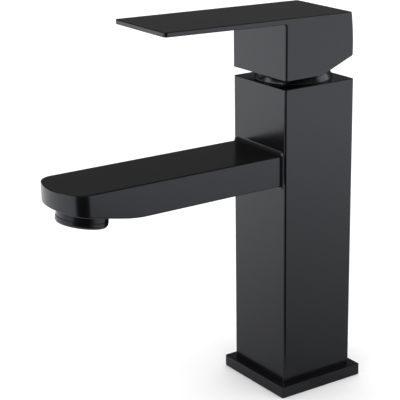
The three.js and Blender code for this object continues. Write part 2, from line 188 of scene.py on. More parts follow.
def block(low, high, radius=0.0):
    """A box between two corners, with rounded upright edges."""
    corners = [(high[0], low[1]), (high[0], high[1]), (low[0], high[1]), (low[0], low[1])]
    plan = rounded([(x, y, radius) for x, y in corners])
    return loft([at_height(plan, low[2]), at_height(plan, high[2])])


def shown(bm, name="part"):
    """The bmesh as an object in the scene."""
    bmesh.ops.remove_doubles(bm, verts=bm.verts, dist=SAME_POINT)
    bmesh.ops.recalc_face_normals(bm, faces=bm.faces)
    mesh = bpy.data.meshes.new(name)
    bm.to_mesh(mesh)
    bm.free()
    obj = bpy.data.objects.new(name, mesh)
    bpy.context.scene.collection.objects.link(obj)
    return obj


def combine(bm, others, operation="DIFFERENCE"):
    """bm cut by, or joined with, the other solids."""
    base = shown(bm)
    tools = [shown(other) for other in others]
    for tool in tools:
        step = base.modifiers.new("step", "BOOLEAN")
        step.operation = operation
        step.solver = "MANIFOLD"
        step.object = tool
    bpy.context.view_layer.update()
    evaluated = base.evaluated_get(bpy.context.evaluated_depsgraph_get())
    result = bmesh.new()
    result.from_mesh(evaluated.to_mesh())
    evaluated.to_mesh_clear()
    for obj in [base, *tools]:
        mesh = obj.data
        bpy.data.objects.remove(obj)
        bpy.data.meshes.remove(mesh)
    return result


def piece(name, bm, node, materials, pick=None):
    """The finished piece, which stands for a CAD node and rides on that node's body.

    pick(face) chooses a face's material by its place in the list.
    """
    obj = shown(bm, name)
    for material in materials:
        obj.data.materials.append(material)
    for face in obj.data.polygons:
        face.use_smooth = True
        if pick:
            face.material_index = pick(face)
    obj.data.set_sharp_from_angle(angle=SHARP)
    weighted = obj.modifiers.new("normals", "WEIGHTED_NORMAL")
    weighted.keep_sharp = True
    weighted.weight = FACE_WEIGHT
    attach(obj, frame["nodes"][node]["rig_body"])
    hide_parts(node)


# ------------------------------------------------------------------ node helpers


def add(tree, kind, inputs=None, **settings):
    """A new node; each input is linked where it is a socket, and set where it is a value."""
    node = tree.nodes.new(kind)
    for key, value in settings.items():
        setattr(node, key, value)
    for key, value in (inputs or {}).items():
        if isinstance(value, bpy.types.NodeSocket):
            tree.links.new(value, node.inputs[key])
        else:
            node.inputs[key].default_value = value
    return node


def calc(tree, operation, first, second=0.0):
    return add(tree, "ShaderNodeMath", {0: first, 1: second}, operation=operation).outputs[0]


def times(tree, first, second):
    return calc(tree, "MULTIPLY", first, second)


def remap(tree, value, from_low, from_high, low, high, interpolation="LINEAR"):
    """value moved from one range to another, and clamped to it."""
    spans = {"From Min": from_low, "From Max": from_high, "To Min": low, "To Max": high}
    node = add(tree, "ShaderNodeMapRange", {"Value": value, **spans}, interpolation_type=interpolation)
    return node.outputs["Result"]


def noise(tree, scale, detail=3.0, stretch=None):
    """Noise in the object's own coordinates; scale is in cells per metre."""
    place = add(tree, "ShaderNodeTexCoord").outputs["Object"]
    if stretch:
        place = add(tree, "ShaderNodeMapping", {"Vector": place, "Scale": stretch}).outputs["Vector"]
    inputs = {"Vector": place, "Scale": scale, "Detail": detail, "Roughness": 0.55}
    return add(tree, "ShaderNodeTexNoise", inputs).outputs["Fac"]


def ranged(tree, value, low, high):
    """Noise, which mostly lies between 0.3 and 0.7, spread from low to high."""
    return remap(tree, value, 0.3, 0.7, low, high)


def blend_colour(tree, factor, first, second):
    """first where the factor is 0, and second where it is 1; each is a colour or a socket."""
    mix = add(tree, "ShaderNodeMix", data_type="RGBA")
    tree.links.new(factor, mix.inputs["Factor"])
    for name, value in (("A", first), ("B", second)):
        socket = [s for s in mix.inputs if s.name == name and s.type == "RGBA"][0]
        if isinstance(value, bpy.types.NodeSocket):
            tree.links.new(value, socket)
        else:
            socket.default_value = (*value, 1)
    return [s for s in mix.outputs if s.type == "RGBA"][0]


def bump(tree, height, distance, strength, onto=None):
    inputs = {"Height": height, "Distance": distance, "Strength": strength}
    if onto:
        inputs["Normal"] = onto
    return add(tree, "ShaderNodeBump", inputs).outputs["Normal"]


EDGE_LIGHT, OPEN_LIGHT = 0.45, 0.75  # inward occlusion on a sharp edge, and where an edge's wear ends


def worn_edges(tree, reach):
    """1 along convex edges, 0 on open faces, found by looking inwards as far as reach."""
    inputs = {"Distance": reach}
    inside = add(tree, "ShaderNodeAmbientOcclusion", inputs, inside=True, only_local=True, samples=8)
    return remap(tree, inside.outputs["AO"], EDGE_LIGHT, OPEN_LIGHT, 1.0, 0.0)


# ------------------------------------------------------------------ materials


def surface(name, metallic=0.0, ior=1.5, specular=0.5):
    """A new material, its node tree and its shader, with the numbers that are the same all over."""
    material = bpy.data.materials.new(name)
    material.use_nodes = True
    tree = material.node_tree
    shader = tree.nodes["Principled BSDF"]
    shader.inputs["Metallic"].default_value = metallic
    shader.inputs["IOR"].default_value = ior
    shader.inputs["Specular IOR Level"].default_value = specular
    return material, tree, shader


def dress(tree, shader, colour, roughness, normal):
    """Links the three inputs that vary over every surface."""
    tree.links.new(colour, shader.inputs["Base Color"])
    tree.links.new(roughness, shader.inputs["Roughness"])
    tree.links.new(normal, shader.inputs["Normal"])


def lacquer():
    """Satin black coating: faint mottling, fine orange peel, and thinner paint on the edges."""
    material, tree, shader = surface("satin_black_lacquer", specular=0.64)
    shader.inputs["Specular Tint"].default_value = (0.88, 0.905, 1.0, 1)
    mottle = noise(tree, scale=45, detail=4)
    grain = noise(tree, scale=2600, detail=2)
    peel = noise(tree, scale=700, detail=3)
    thinned = ranged(tree, noise(tree, scale=260, detail=5), 0.1, 0.5)
    wear = times(tree, worn_edges(tree, reach=0.8 * MM), thinned)
    body = blend_colour(tree, mottle, (0.0022, 0.0022, 0.0023), (0.0036, 0.0036, 0.0037))
    colour = blend_colour(tree, wear, body, (0.014, 0.0135, 0.013))
    satin = ranged(tree, mottle, 0.195, 0.225)
    roughness = calc(tree, "ADD", satin, ranged(tree, grain, -0.015, 0.015))
    peeled = bump(tree, peel, distance=0.01 * MM, strength=0.06)
    normal = bump(tree, grain, distance=0.003 * MM, strength=0.1, onto=peeled)
    dress(tree, shader, colour, roughness, normal)
    return material


def moulded(name, dark, light, rough, speckle_scale=1800):
    """Moulded plastic: soft mottling, fine texture, slightly polished edges."""
    material, tree, shader = surface(name)
    speckle = noise(tree, speckle_scale, detail=3)
    cloud = noise(tree, scale=120, detail=3)
    polish = times(tree, worn_edges(tree, reach=0.5 * MM), 0.3)
    body = blend_colour(tree, times(tree, speckle, cloud), dark, light)
    colour = blend_colour(tree, polish, body, light)
    roughness = ranged(tree, cloud, rough - 0.05, rough + 0.05)
    dress(tree, shader, colour, roughness, bump(tree, speckle, distance=0.01 * MM, strength=0.3))
    return material


def rubber():
    """Matt black rubber with a faint bloom."""
    material, tree, shader = surface("seal_rubber_matt", specular=0.35)
    grain = noise(tree, scale=2200, detail=4)
    bloom = noise(tree, scale=90, detail=4)
    colour = blend_colour(tree, bloom, (0.012, 0.012, 0.012), (0.028, 0.027, 0.026))
    roughness = ranged(tree, bloom, 0.62, 0.8)
    dress(tree, shader, colour, roughness, bump(tree, grain, distance=0.03 * MM, strength=0.4))
    return material


def ceramic():
    """Lapped alumina, nearly white and finely specked."""
    material, tree, shader = surface("alumina_ceramic", ior=1.76)
    speck = noise(tree, scale=3500, detail=2)
    cloud = noise(tree, scale=150, detail=3)
    colour = blend_colour(tree, speck, (0.74, 0.71, 0.64), (0.86, 0.84, 0.79))
    roughness = ranged(tree, cloud, 0.12, 0.24)
    dress(tree, shader, colour, roughness, bump(tree, speck, distance=0.003 * MM, strength=0.2))
    return material


def metal(name, dark, light, rough, stretch):
    """Machined metal: fine tool marks drawn out along the cut, dulled a little in patches."""
    material, tree, shader = surface(name, metallic=1.0)
    marks = noise(tree, scale=900, detail=4, stretch=stretch)
    patch = noise(tree, scale=70, detail=4)
    bright = times(tree, worn_edges(tree, reach=0.4 * MM), 0.4)
    colour = blend_colour(tree, bright, blend_colour(tree, patch, dark, light), light)
    roughness = ranged(tree, marks, rough - 0.07, rough + 0.09)
    dress(tree, shader, colour, roughness, bump(tree, marks, distance=0.01 * MM, strength=0.35))
    return material


def cast_brass():
    """Unpainted sand-cast brass inside the body."""
    material, tree, shader = surface("cast_brass", metallic=1.0)
    sand = noise(tree, scale=1100, detail=5)
    patch = noise(tree, scale=60, detail=4)
    colour = blend_colour(tree, patch, (0.33, 0.21, 0.085), (0.52, 0.36, 0.16))
    roughness = ranged(tree, sand, 0.42, 0.62)
    dress(tree, shader, colour, roughness, bump(tree, sand, distance=0.12 * MM, strength=0.6))
    return material


def enamel(name, dark, light):
    """Glossy enamel with a slight unevenness."""
    material, tree, shader = surface(name)
    cloud = noise(tree, scale=500, detail=3)
    colour = blend_colour(tree, cloud, dark, light)
    roughness = ranged(tree, cloud, 0.16, 0.26)
    dress(tree, shader, colour, roughness, bump(tree, cloud, distance=0.01 * MM, strength=0.1))
    return material


ALONG_Z = (1, 1, 14)
ALONG_Y = (1, 14, 1)

BLACK = lacquer()
RUBBER = rubber()
CERAMIC = ceramic()
PALE = moulded("white_acetal", (0.62, 0.62, 0.59), (0.78, 0.78, 0.75), rough=0.42)
DARK = moulded("dark_nylon", (0.02, 0.02, 0.021), (0.055, 0.055, 0.057), rough=0.5, speckle_scale=2600)
BRASS = metal("turned_brass", (0.56, 0.38, 0.16), (0.78, 0.58, 0.3), rough=0.3, stretch=ALONG_Z)
CAST = cast_brass()
STEEL = metal("stainless_steel", (0.48, 0.48, 0.47), (0.66, 0.66, 0.66), rough=0.26, stretch=ALONG_Y)
RED = enamel("red_enamel", (0.42, 0.012, 0.012), (0.52, 0.02, 0.018))
BLUE = enamel("blue_enamel", (0.012, 0.05, 0.4), (0.02, 0.075, 0.5))
FINISH = {
    "black_coating": BLACK,
    "seal_rubber": RUBBER,
    "pale_plastic": PALE,
    "dark_plastic": DARK,
    "disc_ceramic": CERAMIC,
    "bare_brass": BRASS,
    "steel": STEEL,
    "index_marker": RED,
}


# ------------------------------------------------------------------ flange and gasket

FLANGE_CORNER = 0.9 * MM
FLANGE_BORE = 17.3 * MM
FLANGE_CHAMFER = 0.6 * MM  # at both ends of the bore
FLANGE_LIP = 2.5 * MM  # height of the locating square inside the column
LIP_CORNER = 2.2 * MM
COLUMN_WALL = 3 * MM
GROOVE_ROUND = 0.2 * MM  # in the gasket's groove

GASKET_WIDTH = 4.4 * MM
GASKET_EDGE = 0.25 * MM
RIB = {"rise": 0.35 * MM, "inset": 1.2 * MM, "foot": 0.6 * MM, "crest": 0.25 * MM, "round": 0.1 * MM}
SOFT_STEPS = 3  # strips across the small roundings of seals and bores


def flange():
    """Square plate with a bore, a groove for the gasket, and a lip that locates the column."""
    low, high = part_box("base_flange")
    ring_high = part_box("base_gasket")[1]
    column_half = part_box("column")[1].x
    top = high.z - FLANGE_LIP
    plate = slab(coated_plan(high.x, FLANGE_CORNER), low.z, top, EDGE, EDGE)
    lip = column_half - COLUMN_WALL - GAP
    locator = slab(plain_plan(lip, LIP_CORNER), top - OVER, high.z, 0, EDGE)
    outer = ring_high.x + GAP
    inner = ring_high.x - GASKET_WIDTH - GAP
    groove = revolve(rounded([
        (inner, -OVER, 0), (outer, -OVER, 0),
        (outer, ring_high.z, GROOVE_ROUND), (inner, ring_high.z, GROOVE_ROUND),
    ], SOFT_STEPS))
    mouth = FLANGE_BORE + FLANGE_CHAMFER + OVER
    bore = revolve([
        (0, -OVER), (mouth, -OVER), (FLANGE_BORE, FLANGE_CHAMFER),
        (FLANGE_BORE, high.z - FLANGE_CHAMFER), (mouth, high.z + OVER), (0, high.z + OVER),
    ])
    return combine(combine(plate, [locator], "UNION"), [bore, groove])


def gasket():
    """Flat ring with two raised sealing ribs underneath."""
    low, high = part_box("base_gasket")
    outer = high.x
    inner = outer - GASKET_WIDTH
    base = low.z + RIB["rise"]
    rib = [(-RIB["foot"], base), (-RIB["crest"], low.z), (RIB["crest"], low.z), (RIB["foot"], base)]
    ribs = []
    for centre in (inner + RIB["inset"], outer - RIB["inset"]):
        ribs += [(centre + across, z, RIB["round"]) for across, z in rib]
    return revolve(rounded([
        (inner, high.z, GASKET_EDGE), (inner, base, GASKET_EDGE), *ribs,
        (outer, base, GASKET_EDGE), (outer, high.z, GASKET_EDGE),
    ], SOFT_STEPS))


# ------------------------------------------------------------------ column

HOLLOW_TOP = 106 * MM
HOLLOW_CORNER = 2.5 * MM
HOLLOW_ROUND = 1.5 * MM  # between the hollow's walls and its roof
COLUMN_FOOT = 0.2 * MM  # rounding of the lower rim
CHAMBER_FLOOR = 140 * MM
CHAMBER = 17.7 * MM
CHAMBER_ROUND = 0.3 * MM
THREAD_BORE = 19.3 * MM
THREAD_FROM = 158.5 * MM
MOUTH_CHAMFER = 0.5 * MM
MOUTH_PAST = 0.3 * MM  # how far the chamfer's cut runs on above the column
STUD = {"y": 10 * MM, "radius": 7 * MM, "low": 10 * MM, "high": 42 * MM, "bore": 3.4 * MM, "depth": 20 * MM}
STUD_PITCH = 1.25 * MM
INLET = {"x": 9 * MM, "y": -5 * MM, "thread": 4.45 * MM, "depth": 12 * MM, "bore": 3.3 * MM}
INLET_PITCH = 1 * MM
PEG = {"x": 12 * MM, "y": 8 * MM, "radius": 2.5 * MM, "low": 136.7 * MM}
OUTLET = {"y": 7 * MM, "bore": 4.2 * MM, "cross": 4.8 * MM, "level": 125.4 * MM, "from": 9 * MM}
THREAD_DEPTH = 0.5 * MM
THREAD_MOUTH = (0.2 * MM, 0.9 * MM, 1.2 * MM)  # the chamfer's start and end, and the first groove
THREAD_ROOT, THREAD_CREST = 0.45, 0.9  # where a groove is deepest and where it ends, in pitches
DRILL_POINT = 0.4  # height of a blind bore's cone, in radii
BOSS_STEPS = 12
NEARLY = 0.999  # keeps two neighbouring arcs from sharing a point

COLUMN_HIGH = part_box("column")[1]


def threaded_bore(radius, low, high, x, y, pitch):
    """A bar with thread grooves, to cut a tapped hole whose chamfered mouth is at the bottom."""
    wide = radius + THREAD_DEPTH
    start, end, first = THREAD_MOUTH
    profile = [(0, low - OVER), (wide, low - OVER), (wide, low + start), (radius, low + end)]
    level = low + first
    while level + pitch < high:
        profile.append((radius, level))
        profile.append((wide, level + pitch * THREAD_ROOT))
        profile.append((radius, level + pitch * THREAD_CREST))
        level += pitch
    profile += [(radius, high), (0, high + DRILL_POINT * radius)]
    bm = revolve(profile, SMALL)
    bm.transform(Matrix.Translation((x, y, 0)))
    return bm


def stud_boss():
    """Upright rib on the rear wall, round in front, that the fixing stud screws into."""
    radius = STUD["radius"]
    front = STUD["y"] - radius
    wall = COLUMN_HIGH.x - COLUMN_WALL + OVER
    bend = radius * NEARLY
    corners = [(radius, front, bend), (radius, wall, 0), (-radius, wall, 0), (-radius, front, bend)]
    plan = rounded(corners, BOSS_STEPS)
    return loft([at_height(plan, STUD["low"]), at_height(plan, STUD["high"])])


def chamber():
    """Room for the cartridge, with the nut's wider bore and a chamfered mouth above it."""
    top = COLUMN_HIGH.z
    mouth = THREAD_BORE + MOUTH_CHAMFER + MOUTH_PAST
    return revolve(rounded([
        (0, CHAMBER_FLOOR, 0), (CHAMBER, CHAMBER_FLOOR, CHAMBER_ROUND), (CHAMBER, THREAD_FROM, 0),
        (THREAD_BORE, THREAD_FROM, 0), (THREAD_BORE, top - MOUTH_CHAMFER, 0),
        (mouth, top + MOUTH_PAST, 0), (mouth, top + OVER, 0), (0, top + OVER, 0),
    ], SOFT_STEPS))


def waterways():
    """The bars that cut the stud's bore, both inlets, the peg holes, and the outlet and its cross bore."""
    above = CHAMBER_FLOOR + OVER
    bars = [threaded_bore(STUD["bore"], STUD["low"], STUD["low"] + STUD["depth"], 0, STUD["y"], STUD_PITCH)]
    for side in (-1, 1):
        x = side * INLET["x"]
        socket_end = HOLLOW_TOP + INLET["depth"]
        bars.append(threaded_bore(INLET["thread"], HOLLOW_TOP, socket_end, x, INLET["y"], INLET_PITCH))
        bars.append(cylinder(INLET["bore"], HOLLOW_TOP + OVER, above, x, INLET["y"]))
        bars.append(cylinder(PEG["radius"], PEG["low"], above, side * PEG["x"], PEG["y"]))
    bars.append(cylinder(OUTLET["bore"], OUTLET["level"], above, 0, OUTLET["y"]))
    cross = cylinder(OUTLET["cross"], 0, COLUMN_HIGH.x + OUTLET["from"])
    towards_front = Matrix.Rotation(math.pi / 2, 4, "X")
    cross.transform(Matrix.Translation((0, OUTLET["from"], OUTLET["level"])) @ towards_front)
    return [*bars, cross]


def column():
    """Square casting, hollow below, with the cartridge chamber in its head."""
    low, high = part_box("column")
    inside = high.x - COLUMN_WALL
    shell = slab(coated_plan(high.x, VERTICAL_EDGE), low.z, high.z, COLUMN_FOOT, EDGE)
    hollow = slab(plain_plan(inside, HOLLOW_CORNER), low.z - OVER, HOLLOW_TOP, 0, HOLLOW_ROUND)
    walls = combine(shell, [hollow])
    return combine(combine(walls, [stud_boss()], "UNION"), [chamber(), *waterways()])


def inside_column(face):
    """1 for faces of the bare casting inside, 0 for the coated outside."""
    middle = face.center
    on_side = max(abs(middle.x), abs(middle.y)) > COLUMN_HIGH.x - VERTICAL_EDGE / 2
    return 0 if on_side or middle.z > COLUMN_HIGH.z - OVER else 1


# ------------------------------------------------------------------ spout

SPOUT_EDGE = 0.7 * MM
FILLET_TOP = 2.6 * MM
FILLET_SIDE = 2.2 * MM
NOSE_CORNER = 9 * MM
NOSE_FRONT = 34 * MM
UNDERCUT = {"from": -110.5 * MM, "slope": 0.2, "blend": 7 * MM}
TOP_RISE = 0.8 / 129.5  # the top face climbs a little towards the end
WATERWAY = {"half": 9 * MM, "floor": 120.4 * MM, "roof": 130.2 * MM, "end": -119 * MM}
AERATOR_Y = -128.7 * MM
# Millimetres, from the spout's underside along the aerator's axis.
SEAT = {
    "open": -5, "mouth": 12.9, "chamfer": (-0.1, 0.6),
    "bore": 12.1, "depth": 7.6, "pocket": 9.6, "end": 9.8,
}

FILLET_STEPS = 12
STRAIGHT_STEPS = 6
BEND_STEPS = 12
CORNER_STEPS = 24
FRONT_STEPS = 12
QUARTER = [math.pi / 2 * k / (RIM_STEPS + 2) for k in range(RIM_STEPS + 3)]

spout_low, spout_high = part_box("spout")
ROOT = spout_high.y
SPOUT_HALF = spout_high.x - FILLET_SIDE
SPOUT_BOTTOM = spout_low.z + FILLET_TOP
SPOUT_TOP = spout_high.z - FILLET_TOP


def spout_top(y):
    return SPOUT_TOP + TOP_RISE * (ROOT - y)


def spout_under(y):
    """Height of the underside: level, then turning up in a soft bend towards the end."""
    run = max(0.0, UNDERCUT["from"] + UNDERCUT["blend"] - y)
    bend = min(run, 2 * UNDERCUT["blend"])
    curved = UNDERCUT["slope"] * bend * bend / (4 * UNDERCUT["blend"])
    return SPOUT_BOTTOM + curved + UNDERCUT["slope"] * (run - bend)


def arc_station(x, y, radius, turn):
    """A point of the arc about (x, y), with its outward normal; turn is 0 straight ahead."""
    out = Vector((math.sin(turn), -math.cos(turn)))
    return Vector((x, y)) + radius * out, out


def spout_stations():
    """Plan of the spout's right half from root to tip, as (point, outward normal)."""
    front_y = spout_low.y + NOSE_FRONT
    between = NOSE_FRONT - NOSE_CORNER
    corner_x = SPOUT_HALF - NOSE_CORNER
    corner_y = front_y - math.sqrt(between**2 - corner_x**2)
    meet = math.asin(corner_x / between)
    start = ROOT - FILLET_TOP
    bend = UNDERCUT["from"] + UNDERCUT["blend"]
    levels = [start + (bend - start) * k / STRAIGHT_STEPS for k in range(1, STRAIGHT_STEPS + 1)]
    levels += [bend - 2 * UNDERCUT["blend"] * k / BEND_STEPS for k in range(1, BEND_STEPS + 1)]
    levels.append((levels[-1] + corner_y) / 2)
    stations = [(Vector((SPOUT_HALF, y)), Vector((1, 0))) for y in levels]
    side = math.pi / 2
    for k in range(CORNER_STEPS + 1):
        turn = side + (meet - side) * k / CORNER_STEPS
        stations.append(arc_station(corner_x, corner_y, NOSE_CORNER, turn))
    for k in range(1, FRONT_STEPS + 1):
        turn = meet * (1 - k / FRONT_STEPS)
        stations.append(arc_station(0, front_y, NOSE_FRONT, turn))
    return stations


def root_section(turn):
    """Right half of the section through the concave fillet at the column, bottom to top."""
    flare = 1 - math.sin(turn)
    y = ROOT - FILLET_TOP * (1 - math.cos(turn))
    wide = SPOUT_EDGE + FILLET_SIDE * flare
    tall = SPOUT_EDGE + FILLET_TOP * flare
    x = SPOUT_HALF - SPOUT_EDGE
    low = spout_under(y) + SPOUT_EDGE
    high = spout_top(y) - SPOUT_EDGE
    under = [(x + wide * math.sin(a), y, low - tall * math.cos(a)) for a in QUARTER]
    over = [(x + wide * math.cos(a), y, high + tall * math.sin(a)) for a in QUARTER]
    return under + over


def plan_section(point, out):
    """Right half of the skin at one station of the plan, bottom to top."""
    points = []
    for a in QUARTER:
        p = point - out * SPOUT_EDGE * (1 - math.sin(a))
        points.append((p.x, p.y, spout_under(p.y) + SPOUT_EDGE * (1 - math.cos(a))))
    for a in QUARTER:
        p = point - out * SPOUT_EDGE * (1 - math.cos(a))
        points.append((p.x, p.y, spout_top(p.y) - SPOUT_EDGE * (1 - math.sin(a))))
    return points


def spout_skin():
    """The spout's outside: its right half and the mirror image, joined along the tip."""
    sections = [root_section(math.pi / 2 * k / FILLET_STEPS) for k in range(FILLET_STEPS + 1)]
    sections += [plan_section(point, out) for point, out in spout_stations()]
    bm = bmesh.new()
    right = [[bm.verts.new(p) for p in section] for section in sections]
    left = [[bm.verts.new((-x, y, z)) for x, y, z in section] for section in sections[:-1]]
    left.append(right[-1])
    rows = [half + other[::-1] for half, other in zip(right, left)]
    for near, far in zip(rows, rows[1:]):
        skin_between(bm, near, far)
    bm.faces.new(rows[0])
    return bm


# Places a turned piece of the aerator, made about Z, on the spout's sloping underside.
TILT = Matrix.Translation((0, AERATOR_Y, spout_under(AERATOR_Y)))
TILT = TILT @ Matrix.Rotation(-math.atan(UNDERCUT["slope"]), 4, "X")


def aerator_seat():
    """The bar that cuts the aerator's bore and the pocket behind it."""
    start, end = SEAT["chamfer"]
    seat = revolve(in_metres([
        (0, SEAT["open"]), (SEAT["mouth"], SEAT["open"]), (SEAT["mouth"], start), (SEAT["bore"], end),
        (SEAT["bore"], SEAT["depth"]), (SEAT["pocket"], SEAT["depth"]),
        (SEAT["pocket"], SEAT["end"]), (0, SEAT["end"]),
    ]))
    seat.transform(TILT)
    return seat


def spout():
    """Flat spout, hollow inside, with the aerator's seat under its rounded end."""
    half = WATERWAY["half"]
    low = (-half, WATERWAY["end"], WATERWAY["floor"])
    high = (half, ROOT + OVER, WATERWAY["roof"])
    return combine(spout_skin(), [block(low, high), aerator_seat()])


# ------------------------------------------------------------------ aerator

# Radii and heights in millimetres, from the spout's underside along the ring's own axis.
RING = {
    "lip": 8.7, "inside": 10.2, "bottom": -7.4, "shelf": -6.2,
    "foot": 12.5, "collar": 13.2, "collar_top": -4.45,
    "groove": 12.85, "groove_low": -4.4, "groove_high": -4.1,
    "neck": 13.1, "neck_low": -4.05, "neck_top": -0.15,
    "thread": 11.8, "thread_from": 0.5, "end": 11.5, "top": 6,
}
RING_THREAD = {"from": 0.8, "to": 5.6, "pitch": 1, "depth": 0.35}
GROOVE_SHAPE = (0.1, 0.3, 0.6, 0.8)  # where a groove's floor and the next crest start and end, in pitches


def ring_thread():
    """Corners of the outlet ring's thread, upwards."""
    crest = RING["thread"]
    root = crest - RING_THREAD["depth"]
    points = []
    level = RING_THREAD["from"]
    while level + RING_THREAD["pitch"] <= RING_THREAD["to"]:
        for radius, part in zip((root, root, crest, crest), GROOVE_SHAPE):
            points.append((radius, level + RING_THREAD["pitch"] * part, 0))
        level += RING_THREAD["pitch"]
    return points


def aerator_housing():
    """Screwed-in outlet ring: plain neck, a groove, and a collar that tapers at its lip."""
    corners = [
        (RING["lip"], RING["bottom"], 0.3), (RING["foot"], RING["bottom"], 0.35),
        (RING["collar"], RING["shelf"], 0.4), (RING["collar"], RING["collar_top"], 0.15),
        (RING["groove"], RING["groove_low"], 0.05), (RING["groove"], RING["groove_high"], 0.05),
        (RING["neck"], RING["neck_low"], 0.1), (RING["neck"], RING["neck_top"], 0.25),
        (RING["thread"], RING["neck_top"], 0), (RING["thread"], RING["thread_from"], 0),
        *ring_thread(), (RING["end"], RING["top"], 0.2), (RING["inside"], RING["top"], 0.2),
        (RING["inside"], RING["shelf"], 0.1), (RING["lip"], RING["shelf"], 0.2),
    ]
    ring = revolve(rounded(in_metres(corners), steps=4), FINE)
    ring.transform(TILT)
    return ring


# ------------------------------------------------------------------ dome cap

DOME = {"centre": 160.85 * MM, "radius": 22 * MM, "shell": 1.3 * MM, "hole": 13.4 * MM, "skirt": 1.2 * MM}
OUTER_TUCK = 0.01 * MM  # how far inside the rim the dome's outer curve starts
INNER_TUCK = 0.3 * MM  # how far inside the skirt its inner curve ends
DOME_FOOT = (0.1 * MM, 0.2 * MM)  # roundings of the skirt's inner and outer lower edges
OUTER_STEPS, INNER_STEPS = 28, 16


def dome_arc(radius, start, end, steps):
    """Corners along the dome's curve between two distances from the axis."""
    first, last = math.asin(start / radius), math.asin(end / radius)
    turns = [first + (last - first) * k / steps for k in range(steps + 1)]
    return [(radius * math.sin(turn), DOME["centre"] + radius * math.cos(turn), 0) for turn in turns]


def dome_cap():
    """Thin spherical shell with a hole for the cartridge's neck."""
    low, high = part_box("dome_cap")
    base = high.x
    skirt = base - DOME["skirt"]
    inner = DOME["radius"] - DOME["shell"]
    return revolve(rounded([
        (skirt, low.z, DOME_FOOT[0]), (base, low.z, DOME_FOOT[1]),
        *dome_arc(DOME["radius"], base - OUTER_TUCK, DOME["hole"], OUTER_STEPS),
        *dome_arc(inner, DOME["hole"], skirt - INNER_TUCK, INNER_STEPS),
    ], SOFT_STEPS), FINE)


# ------------------------------------------------------------------ handle

LEVER_TOP = (204.1 * MM, 0.025)  # height on the axis, and its climb towards the tip
LEVER_UNDER = (201.1 * MM, 0.031)
TIP_CORNER = 2.2 * MM
BLOCK_FRONT = -22.5 * MM
HEEL_START = 0.9 * MM
HEEL_TOP = 181 * MM
REAR_LOW, REAR_HIGH = 21.5 * MM, 20.3 * MM  # y of the rear face at the heel and at the top
REAR_BULGE = 0.495 * MM
REAR_STEPS = 12
SIDE_STEPS = 8
# Roundings in side view: lever to block, block's front foot, heel's start and top, rear top.
HANDLE_ROUND = {"throat": 1.1 * MM, "foot": 0.5 * MM, "heel": 1.5 * MM, "rear": 0.8 * MM, "top": 0.6 * MM}

STEM_SOCKET = {"half": 4.15 * MM, "low": 183 * MM, "high": 194.6 * MM, "corner": 0.3 * MM}
CAVITY = {"mouth": 20.6 * MM, "radius": 20 * MM, "wall_top": 178 * MM}
CAVITY_ROOF = {"radius": 13 * MM, "height": 184.5 * MM}
CAVITY_CHAMFER = (-0.1 * MM, 0.5 * MM)  # from below the block's underside to above it
CAVITY_ROUND = (1 * MM, 1.5 * MM)  # at the wall's top and at the roof's edge
CAVITY_STEPS = 5
GRUB_HOLE = [(2.7, 0), (2.7, 14.8), (3.6, 14.8), (3.6, 20.6), (4.3, 22.4), (4.3, 27)]  # (radius, y) in mm


def retreat(x, half, radius):
    """How far a rounded corner at the handle's side has drawn back at x."""
    into = abs(x) - (half - radius)
    return 0.0 if into <= 0 else radius - math.sqrt(max(0.0, radius**2 - into**2))


def line_height(line, y):
    return line[0] - line[1] * y


def handle_section(x, half, tip, bottom):
    """Side view of the handle at x, with the rims drawn in near its two sides."""
    rim = retreat(x, half, EDGE)
    upright = retreat(x, half, VERTICAL_EDGE)
    tip_y = tip + retreat(x, half, TIP_CORNER)
    front = BLOCK_FRONT + upright
    heel = Vector((REAR_LOW - HEEL_START, HEEL_TOP - bottom))
    lean = rim / heel.normalized().x
    slope = heel.y / heel.x
    start_y = HEEL_START + (rim - lean) / slope
    heel_y = REAR_LOW - upright
    heel_z = HEEL_TOP + lean - slope * upright
    top_y = REAR_HIGH - upright
    top_z = line_height(LEVER_TOP, top_y) - rim
    corners = [
        (tip_y, line_height(LEVER_TOP, tip_y) - rim, EDGE),
        (tip_y, line_height(LEVER_UNDER, tip_y) + rim, EDGE),
        (front, line_height(LEVER_UNDER, front) + rim, HANDLE_ROUND["throat"]),
        (front, bottom + rim, HANDLE_ROUND["foot"]),
        (start_y, bottom + rim, HANDLE_ROUND["heel"]),
        (heel_y, heel_z, HANDLE_ROUND["rear"]),
    ]
    for k in range(1, REAR_STEPS):
        t = k / REAR_STEPS
        bulge = 4 * t * (1 - t) * REAR_BULGE
        corners.append((heel_y + (top_y - heel_y) * t + bulge, heel_z + (top_z - heel_z) * t, 0))
    corners.append((top_y, top_z, HANDLE_ROUND["top"]))
    return [(x, p.x, p.y) for p in rounded(corners)]


def handle_stations(half):
    """The x of each side view, close together where the handle's side edges are rounded."""
    stations = set()
    for radius in (EDGE, VERTICAL_EDGE, TIP_CORNER):
        for k in range(SIDE_STEPS + 1):
            inset = radius * (1 - math.sin(math.pi / 2 * k / SIDE_STEPS))
            stations.add(round(half - inset, 7))
    return sorted(stations | {-x for x in stations})


def rear_bar(profile):
    """A bar turned about the grub screw's axis, along Y, from (radius, y)."""
    bm = revolve([(0, profile[0][1]), *profile, (0, profile[-1][1])], SMALL)
    low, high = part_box("grub_screw")
    to_screw = Matrix.Translation((0, 0, (low.z + high.z) / 2))
    bm.transform(to_screw @ Matrix.Rotation(-math.pi / 2, 4, "X"))
    return bm


